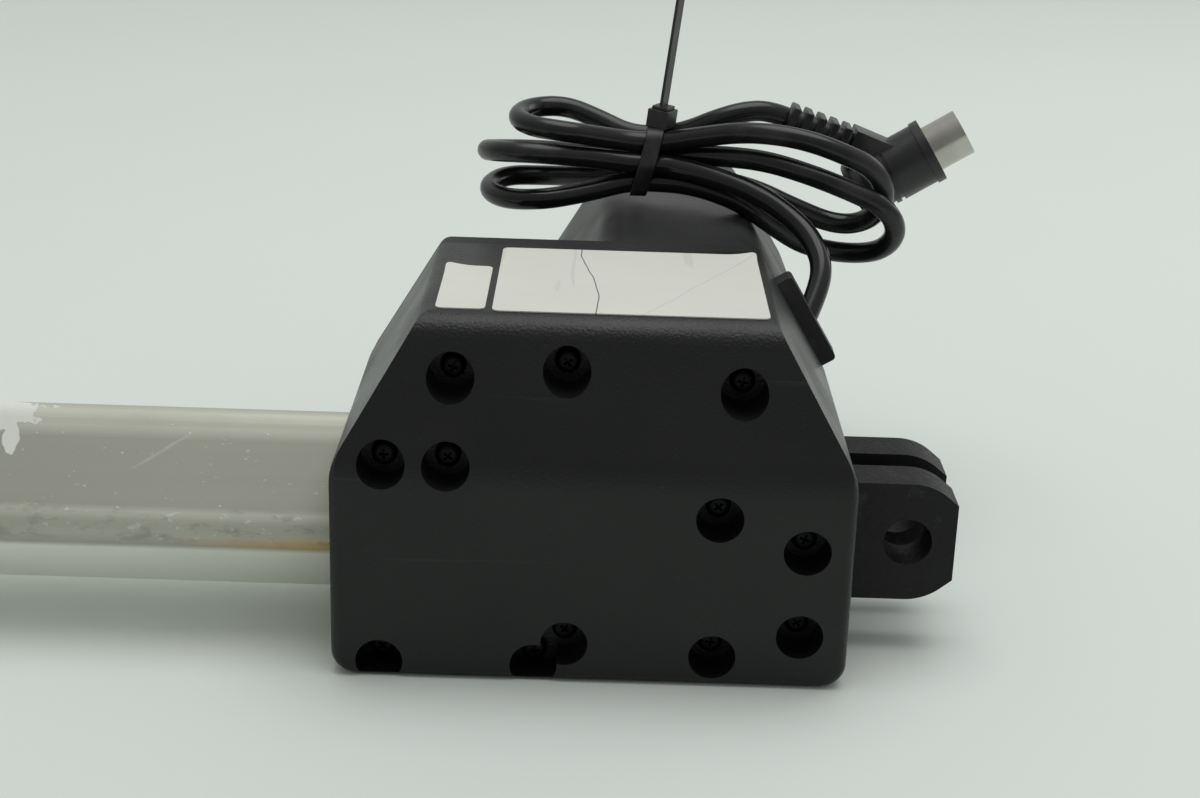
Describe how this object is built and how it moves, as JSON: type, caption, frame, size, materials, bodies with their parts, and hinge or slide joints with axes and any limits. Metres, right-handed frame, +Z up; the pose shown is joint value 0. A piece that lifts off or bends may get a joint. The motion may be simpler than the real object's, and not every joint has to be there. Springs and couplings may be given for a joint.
{
  "type": "linear actuator",
  "caption": "Electric linear actuator for an adjustable bed: moulded gear housing, motor under a tapered cover, square guide tube with sliding push tube, fork ends and a tied cable.",
  "frame": {"origin": "centre of the rear fork's pin bore", "axes": "+X along the spindle, away from the push tube; +Y along the rear pin bore, towards the motor; +Z up"},
  "size_m": [0.3844, 0.1995, 0.1565],
  "materials": {
    "housing_plastic": "black grained moulding",
    "rear_plastic": "black moulding",
    "cover_plastic": "matte black moulding",
    "fork_black": "matte black coated casting",
    "zinc_screw": "black zinc plated",
    "block_alloy": "die cast",
    "inner_plastic": "moulded",
    "cap_plastic": "black moulding",
    "bearing_steel": "ground",
    "machined_steel": "turned",
    "gear_plastic": "natural acetal",
    "tube_alloy": "satin extrusion",
    "push_alloy": "anodised",
    "seal_rubber": "soft",
    "board": "circuit board",
    "switch_plastic": "moulded",
    "can_steel": "drawn and plated",
    "magnet": "ferrite",
    "carbon": "carbon",
    "bush_bronze": "sintered",
    "lamination": "stacked sheet",
    "winding": "copper",
    "cable_black": "glossy sheath",
    "plug_black": "overmoulded",
    "nickel": "nickel plated",
    "pin_brass": "plated",
    "tie_black": "nylon",
    "label_white": "bare off-white film"
  },
  "bodies": {
    "actuator": {"front_housing": "housing_plastic", "rear_housing": "rear_plastic", "cable_inlet": "rear_plastic", "motor_cover": "cover_plastic", "rear_clevis": "fork_black", "housing_screws": "zinc_screw", "block_screws": "zinc_screw", "motor_screws": "zinc_screw", "bearing_block": "block_alloy", "motor_flange": "block_alloy", "tube_clamp": "inner_plastic", "tube_inner_plug": "inner_plastic", "guide_bush": "inner_plastic", "brush_holder": "inner_plastic", "tube_end_cap": "cap_plastic", "bearing_outer_ring": "bearing_steel", "guide_tube": "tube_alloy", "rod_wiper": "seal_rubber", "switch_strip": "board", "limit_switches": "switch_plastic", "motor_can": "can_steel", "motor_magnets": "magnet", "carbon_brushes": "carbon", "motor_rear_bush": "bush_bronze", "worm_bush": "bush_bronze", "cable_lead": "cable_black", "cable_hank": "cable_black", "cable_tail": "cable_black", "plug_boot": "plug_black", "plug_body": "plug_black", "plug_shell": "nickel", "plug_pins": "pin_brass", "cable_tie": "tie_black", "rating_label": "label_white", "serial_label": "label_white"},
    "spindle_set": {"spindle": "machined_steel", "worm_wheel": "gear_plastic", "bearing_inner_ring": "bearing_steel", "spindle_circlip": "machined_steel", "spindle_end_ring": "gear_plastic"},
    "ball_set": {"bearing_balls": "bearing_steel"},
    "armature": {"armature_shaft": "machined_steel", "rotor_core": "lamination", "rotor_windings": "winding", "commutator": "winding"},
    "rod": {"spindle_nut": "gear_plastic", "push_tube": "push_alloy", "nut_pins": "machined_steel", "rod_clevis": "fork_black", "clevis_rivet": "machined_steel"}
  },
  "joints": [
    {"name": "motor_spin", "type": "hinge", "parent": "actuator", "child": "armature", "pos_m": [-0.06, 0, 0.0295], "axis": [0, 1, 0], "range_deg": [0, 297600]},
    {"name": "spindle_spin", "type": "hinge", "parent": "actuator", "child": "spindle_set", "pos_m": [-0.06, 0, 0], "axis": [1, 0, 0], "range_deg": [0, 9605]},
    {"name": "ball_spin", "type": "hinge", "parent": "actuator", "child": "ball_set", "pos_m": [-0.0345, 0, 0], "axis": [1, 0, 0], "range_deg": [0, 3675]},
    {"name": "rod_slide", "type": "slide", "parent": "actuator", "child": "rod", "axis": [-1, 0, 0], "range_m": [0, 0.1601]}
  ],
  "couplings": [
    {"joint": "spindle_spin", "follows": "motor_spin", "ratio": 0.032258},
    {"joint": "ball_spin", "follows": "motor_spin", "ratio": 0.012323},
    {"joint": "rod_slide", "follows": "motor_spin", "m_per_rad": 0.000030804}
  ]
}
